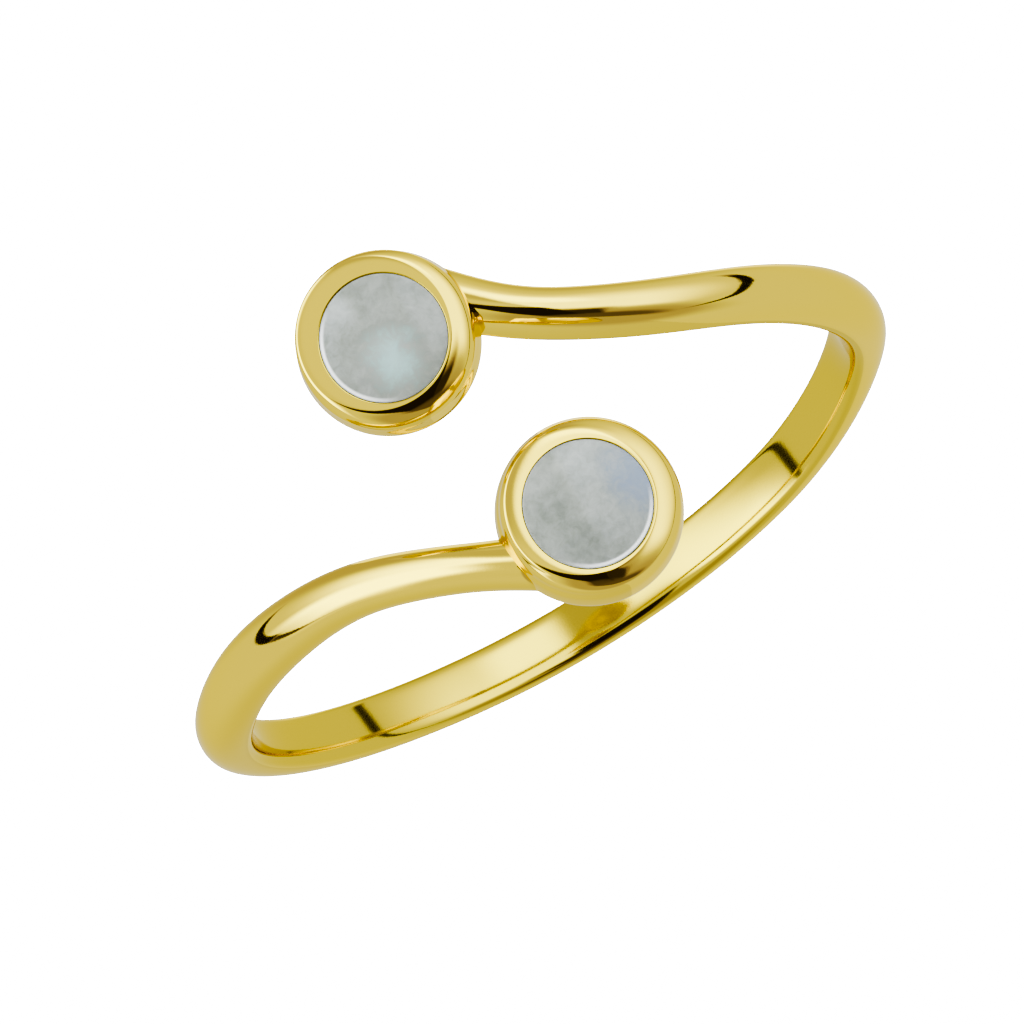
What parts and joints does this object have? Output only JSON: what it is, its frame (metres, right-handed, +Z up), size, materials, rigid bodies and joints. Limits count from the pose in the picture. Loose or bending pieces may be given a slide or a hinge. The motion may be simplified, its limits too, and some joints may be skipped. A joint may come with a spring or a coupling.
{
  "type": "moonstone bypass ring",
  "caption": "Open finger ring whose band ends pass each other, each carrying a round bezel-set moonstone cabochon.",
  "frame": {"origin": "the point on the surface that the ring lies on, under the middle of the space that it takes up", "axes": "+Z up from the surface, -Y towards the side with the two bezels, +X towards the arm of the upper bezel"},
  "size_m": [0.02, 0.0212, 0.0099],
  "materials": {
    "gold": "polished gold plating",
    "moonstone": "polished, milky and translucent"
  },
  "bodies": {
    "root": {"band_and_bezels": "gold", "stone_upper": "moonstone", "stone_lower": "moonstone"}
  },
  "joints": []
}
